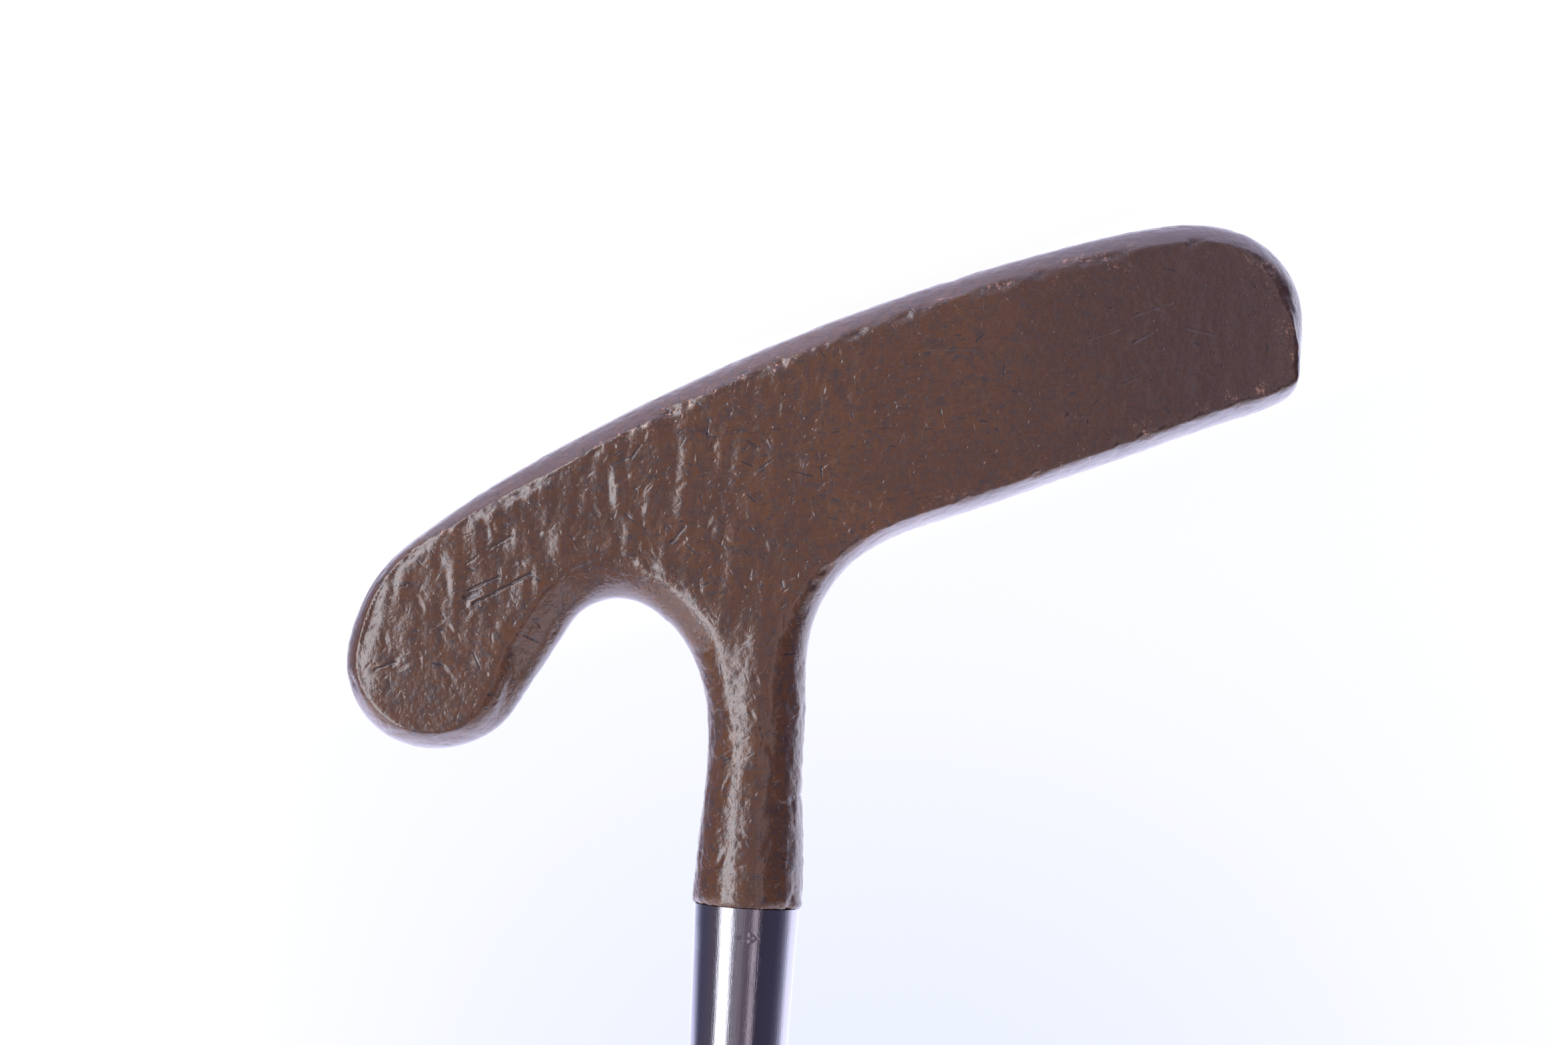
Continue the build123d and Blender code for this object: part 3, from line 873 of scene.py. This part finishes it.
def turned_mesh(name, profile, sides):
    """A closed solid of revolution about the shaft, from (height, radius) pairs that go all the way round."""
    turns = np.linspace(0, 2 * math.pi, sides, endpoint=False)
    levels, radii = np.array(profile).T
    ring_count = len(levels)
    points = from_address(
        np.outer(radii, np.cos(turns)).ravel(),
        np.repeat(levels, sides),
        np.outer(radii, np.sin(turns)).ravel(),
    )
    faces = []
    for i in range(ring_count):
        for j in range(sides):
            k = (j + 1) % sides
            low, high = i * sides, (i + 1) % ring_count * sides
            faces.append((low + j, low + k, high + k, high + j))
    mesh = bpy.data.meshes.new(name)
    mesh.from_pydata([tuple(p) for p in points], [], faces)
    tidy = bmesh.new()
    tidy.from_mesh(mesh)
    bmesh.ops.recalc_face_normals(tidy, faces=tidy.faces)
    if tidy.calc_volume(signed=True) < 0:
        bmesh.ops.reverse_faces(tidy, faces=tidy.faces)
    tidy.to_mesh(mesh)
    tidy.free()
    mesh.shade_smooth()
    mesh.set_sharp_from_angle(angle=math.radians(35))
    return mesh


bore = [(level, radius - WALL) for level, radius in (profile[-1], profile[0])]
tube = link_mesh("chromed_tube", turned_mesh("chromed_tube", profile + bore, TUBE_SIDES))
tube_points = mesh_points(tube.data)
tube_toe, tube_height, tube_front = address(tube_points).T
stake_u = (tube_toe - STAKE_MIDDLE[0]) / STAKE_HALF[0]
stake_v = (tube_height - STAKE_MIDDLE[1]) / STAKE_HALF[1]
point = np.where(stake_u < 0.05, 0.45, np.clip(1.0 - stake_u, 0.02, 1.0))  # a stem, and an arrowhead towards the toe
stake = (tube_front > 5.3) * np.clip(1 - np.abs(stake_v) / point, 0, 1) ** 0.6 * (np.abs(stake_u) < 1)
stake = stake * np.clip((1 - np.abs(stake_u)) * 4, 0, 1)
tube_points += np.outer(stake * STAKE_DEPTH * MM, -np.array(FRONT))
tube.data.vertices.foreach_set("co", tube_points.ravel())
tube.data.update()
print("tube:", len(rings), "rings,", len(tube.data.polygons), "faces")

# %% [markdown]
# Chrome has no colour of its own worth speaking of. It is all metal and nearly smooth, with a fine brushing drawn
# out along the tube and a scatter of small flecks where the plating has been rubbed.

# %% The chrome finish
chrome = Finish("brushed_chrome")
tube_place = shaft_place(chrome)
streaks = chrome.noise(chrome.stretched(tube_place, (7.0, 7.0, 0.10)), 1.0, 3, 0.6)
flecks = chrome.noise(chrome.stretched(tube_place, (6.0, 6.0, 1.6)), 1.0, 2, 0.6)
chrome.set(
    Base_Color=chrome.mix(streaks.step(0.4, 0.7) * 0.3, (0.62, 0.62, 0.66), (0.54, 0.51, 0.58)),
    Metallic=1.0,
    Roughness=(0.05 + 0.07 * streaks + 0.08 * flecks.step(0.55, 0.7)).clamped(),
)
chrome.bump(streaks * 0.7 + flecks * 0.5, 0.5, 0.03)
tube.data.materials.append(chrome.material)
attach(tube, "root")
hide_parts("shaft")

# %% [markdown]
# ## The grip
#
# The grip is a strip of leather wound up a rubber sleeve. Each turn butts against the last, so what one sees is
# a shallow groove climbing round the grip, and three rows of small holes that climb with it. The strip follows a
# path over a shape, which is work for Geometry Nodes: a flat grid is rolled into a helix well outside the grip,
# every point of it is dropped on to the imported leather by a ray, and then it sinks at the seam and at each hole.
# Solidify gives it a wall afterwards, and Decimate thins the side that faces the rubber, which no one sees.

# %% Grow the strip
TURN_HEIGHT = 18.6
STRIP_COLUMNS = 2400
STRIP_ROWS = 30
FACES_KEPT = 0.6  # of the strip's faces, once its hidden inner side is thinned
HOLE_STEP = 2 * math.pi / 20
LEATHER_DEEP = 1.0

strip_low, strip_high = (h / MM - mouth_height / MM for h in reach_along_shaft("leather_wrap"))
tree = bpy.data.node_groups.new("wound_strip", "GeometryNodeTree")
tree.interface.new_socket("Geometry", in_out="INPUT", socket_type="NodeSocketGeometry")
tree.interface.new_socket("Geometry", in_out="OUTPUT", socket_type="NodeSocketGeometry")
KNOBS = {
    "Turn height": TURN_HEIGHT,
    "Lowest": float(strip_low),
    "Highest": float(strip_high),
    "Seam depth": 0.34,
    "Seam width": 0.9,
    "Hole radius": 0.62,
    "Hole depth": 0.45,
}
knob_sockets = {"Core": tree.interface.new_socket("Core", in_out="INPUT", socket_type="NodeSocketObject")}
for name in KNOBS:
    knob_sockets[name] = tree.interface.new_socket(name, in_out="INPUT", socket_type="NodeSocketFloat")
knob_sockets["Leather"] = tree.interface.new_socket("Leather", in_out="INPUT", socket_type="NodeSocketMaterial")
winding = Maker(tree)
entry = tree.nodes.new("NodeGroupInput")
knob = {socket.name: Term(winding, socket) for socket in entry.outputs if socket.name}

size = {"Size X": 1.0, "Size Y": 1.0, "Vertices X": STRIP_COLUMNS, "Vertices Y": STRIP_ROWS}
flat = winding.add("GeometryNodeMeshGrid", size)
grid_x, grid_y = winding.parts(winding.add("GeometryNodeInputPosition"))[:2]
share_along, share_across = grid_x + 0.5, grid_y + 0.5
turns = (knob["Highest"] - knob["Lowest"]) / knob["Turn height"] + 1.0
turn = share_along * turns
angle = turn * (2 * math.pi)
level = knob["Lowest"] + (turn + share_across - 1.0) * knob["Turn height"]
level = level.math("MINIMUM", level.math("MAXIMUM", level, knob["Lowest"] + 0.05), knob["Highest"] - 0.05)


def vector_sum(maker, *pairs):
    """A vector made of axes, each scaled by a term."""
    total = None
    for axis, amount in pairs:
        part = maker.add("ShaderNodeVectorMath", {0: tuple(axis), "Scale": amount}, operation="SCALE")
        total = part if total is None else maker.add("ShaderNodeVectorMath", {0: total, 1: part}, operation="ADD")
    return total


outward = vector_sum(winding, (TOEWARD, angle.math("COSINE", angle)), (FRONT, angle.math("SINE", angle)))
axis_point = vector_sum(winding, (MOUTH, 1.0), (UP_SHAFT, level * MM))
away_point = winding.add("ShaderNodeVectorMath", {0: outward, "Scale": 25 * MM}, operation="SCALE")
start = winding.add("ShaderNodeVectorMath", {0: axis_point, 1: away_point}, operation="ADD")
inward = winding.add("ShaderNodeVectorMath", {0: outward, "Scale": -1.0}, operation="SCALE")
core = winding.add("GeometryNodeObjectInfo", {"Object": knob["Core"]}, output="Geometry")
ray = {"Target Geometry": core, "Source Position": start, "Ray Direction": inward, "Ray Length": 30 * MM}
landing = winding.add("GeometryNodeRaycast", ray, output="Hit Position")

to_seam = share_across.math("MINIMUM", share_across, 1.0 - share_across) * knob["Turn height"]
seam = (1.0 - to_seam / knob["Seam width"]).clamped() ** 2.0
step_angle = angle / HOLE_STEP
hole_x = (step_angle - step_angle.math("ROUND", step_angle)) * (HOLE_STEP * 11.5)
row_place = share_across * 4.0
hole_y = (row_place - row_place.math("ROUND", row_place)) * knob["Turn height"] * 0.25
in_rows = to_seam.step(1.5, 3.0)
hole_gap = (hole_x * hole_x + hole_y * hole_y) ** 0.5
hole = hole_gap.step(knob["Hole radius"] * 1.25, knob["Hole radius"] * 0.6) * in_rows
relief = seam * knob["Seam depth"] + hole * knob["Hole depth"]
sunk_point = winding.add("ShaderNodeVectorMath", {0: outward, "Scale": relief * -MM}, operation="SCALE")
final_point = winding.add("ShaderNodeVectorMath", {0: landing, 1: sunk_point}, operation="ADD")

kept = winding.add("GeometryNodeStoreNamedAttribute", {"Geometry": flat, "Name": "hole", "Value": hole})
kept = winding.add("GeometryNodeStoreNamedAttribute", {"Geometry": kept, "Name": "seam", "Value": seam})
wound = winding.add("GeometryNodeSetPosition", {"Geometry": kept, "Position": final_point})
joined = winding.add("GeometryNodeMergeByDistance", {"Geometry": wound, "Distance": 0.06 * MM})
real = winding.add("GeometryNodeRealizeInstances", {"Geometry": joined})
coated = winding.add("GeometryNodeSetMaterial", {"Geometry": real, "Material": knob["Leather"]})
winding.add("NodeGroupOutput", {"Geometry": coated})
print("strip tree:", len(tree.nodes), "nodes;", round((strip_high - strip_low) / TURN_HEIGHT, 1), "turns")

# %% [markdown]
# Leather is dielectric and slightly open: a broken sheen over a grain of small cells. Hands polish it between the
# seams and leave the grooves and holes dull and dark.

# %% The leather finish, and the strip made real
leather = Finish("wrap_leather")
grip_place = shaft_place(leather)
cells = leather.add("ShaderNodeTexVoronoi", {"Vector": grip_place, "Scale": 1.9}, output="Distance")
wrinkles = leather.noise(grip_place, 1.1, 4, 0.6)
worn = leather.noise(grip_place, 14.0, 2)
in_hole = leather.add("ShaderNodeAttribute", output="Fac", attribute_name="hole")
in_seam = leather.add("ShaderNodeAttribute", output="Fac", attribute_name="seam")
tone = leather.mix(wrinkles.step(0.35, 0.7), (0.030, 0.019, 0.015), (0.062, 0.040, 0.030))
tone = leather.mix(worn.step(0.45, 0.7) * 0.5, tone, (0.095, 0.062, 0.045))
tone = leather.mix((in_hole + in_seam * 0.7).clamped() * 0.85, tone, (0.008, 0.006, 0.005))
leather.set(
    Base_Color=tone,
    Roughness=(0.42 + 0.16 * wrinkles - 0.12 * worn + 0.3 * in_hole + 0.2 * in_seam).clamped(),
)
leather.bump(0.6 * cells + 0.5 * wrinkles, 0.6, 0.12)

strip = link_mesh("leather_strip", bpy.data.meshes.new("leather_strip"))
grow = strip.modifiers.new("wind", "NODES")
grow.node_group = tree
grow[knob_sockets["Core"].identifier] = frame["nodes"]["leather_wrap"]
grow[knob_sockets["Leather"].identifier] = leather.material
for name, value in KNOBS.items():
    grow[knob_sockets[name].identifier] = value
strip.data = plain_mesh(strip)
strip.modifiers.clear()
tidy = bmesh.new()
tidy.from_mesh(strip.data)
bmesh.ops.dissolve_degenerate(tidy, edges=tidy.edges, dist=1e-6)
bmesh.ops.recalc_face_normals(tidy, faces=tidy.faces)
outwardness = 0.0
for face in tidy.faces:
    centre = face.calc_center_median() - MOUTH
    outwardness += face.normal.dot(centre - centre.project(UP_SHAFT))
if outwardness < 0:
    bmesh.ops.reverse_faces(tidy, faces=tidy.faces)
tidy.to_mesh(strip.data)
tidy.free()
thick = strip.modifiers.new("thick", "SOLIDIFY")
thick.thickness = LEATHER_DEEP * MM
thick.offset = -1.0
strip.vertex_groups.new(name="inside")
thick.shell_vertex_group = "inside"
thin = strip.modifiers.new("thin", "DECIMATE")
thin.ratio = FACES_KEPT
thin.vertex_group = "inside"
strip.data = plain_mesh(strip)
strip.modifiers.clear()
strip.data.shade_smooth()
print("strip:", len(strip.data.polygons), "faces")
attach(strip, "root")
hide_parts("leather_wrap")

# %% [markdown]
# ## The small parts
#
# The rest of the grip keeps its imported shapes, and each gets its own finish. The collar and the cap are satin
# black mouldings with a fine spark-eroded grain. The rubber sleeve, the tapes, the plug and the epoxy are mostly
# hidden, but each still has the look of what it is.


# %% Finishes for the small parts
def give(node, finish):
    """Puts a finish on a CAD node, whose mesh stays as it is."""
    slots = frame["nodes"][node].data.materials
    slots.clear()
    slots.append(finish.material)


moulded = Finish("satin_black_plastic")
grain = moulded.noise(moulded.place, 0.35, 3, 0.6)
handled = moulded.noise(moulded.place, 6.0, 2)
moulded.set(
    Base_Color=moulded.mix(grain, (0.014, 0.014, 0.016), (0.026, 0.026, 0.028)),
    Roughness=(0.34 + 0.15 * grain + 0.12 * handled).clamped(),
)
moulded.bump(grain, 0.35, 0.04)
give("grip_collar", moulded)
give("butt_cap", moulded)

zinc = Finish("zinc_plate")
spangle = zinc.noise(zinc.place, 0.6, 3, 0.6)
zinc.set(
    Base_Color=zinc.mix(spangle, (0.48, 0.49, 0.50), (0.62, 0.62, 0.60)),
    Metallic=1.0,
    Roughness=(0.25 + 0.2 * spangle).clamped(),
)
zinc.bump(spangle, 0.3, 0.03)
give("cap_screw", zinc)

vinyl = Finish("black_vinyl_tape")
creases = vinyl.noise(vinyl.stretched(shaft_place(vinyl), (0.5, 0.5, 3.0)), 1.0, 3, 0.6)
vinyl.set(
    Base_Color=vinyl.mix(creases, (0.012, 0.012, 0.013), (0.03, 0.03, 0.032)),
    Roughness=(0.28 + 0.2 * creases).clamped(),
)
vinyl.bump(creases, 0.4, 0.05)
give("wrap_end_tape", vinyl)

rubber = Finish("matt_rubber")
bloom = rubber.noise(rubber.place, 3.0, 4, 0.6)
rubber.set(
    Base_Color=rubber.mix(bloom.step(0.4, 0.7), (0.022, 0.022, 0.022), (0.05, 0.049, 0.047)),
    Roughness=(0.7 + 0.2 * bloom).clamped(),
)
rubber.bump(bloom, 0.3, 0.06)
give("underlisting", rubber)

crepe = Finish("crepe_paper_tape")
crinkle = crepe.noise(crepe.stretched(shaft_place(crepe), (0.4, 0.4, 3.5)), 1.0, 4, 0.65)
crepe.set(
    Base_Color=crepe.mix(crinkle, (0.52, 0.44, 0.30), (0.74, 0.66, 0.50)),
    Roughness=(0.75 + 0.15 * crinkle).clamped(),
)
crepe.bump(crinkle, 0.6, 0.1)
give("grip_tape", crepe)

wood = Finish("turned_hardwood")
rings_of_growth = wood.noise(wood.stretched(shaft_place(wood), (1.0, 1.0, 0.06)), 1.3, 4, 0.6)
wood.set(
    Base_Color=wood.mix(rings_of_growth.step(0.35, 0.65), (0.40, 0.26, 0.14), (0.62, 0.45, 0.26)),
    Roughness=(0.5 + 0.2 * rings_of_growth).clamped(),
)
wood.bump(rings_of_growth, 0.3, 0.08)
give("butt_plug", wood)

epoxy = Finish("amber_epoxy")
cloudy = epoxy.noise(epoxy.place, 2.0, 3, 0.6)
epoxy.set(
    Base_Color=epoxy.mix(cloudy, (0.52, 0.40, 0.18), (0.70, 0.60, 0.38)),
    Roughness=(0.12 + 0.2 * cloudy).clamped(),
)
epoxy.bump(cloudy, 0.2, 0.05)
give("hosel_bond", epoxy)
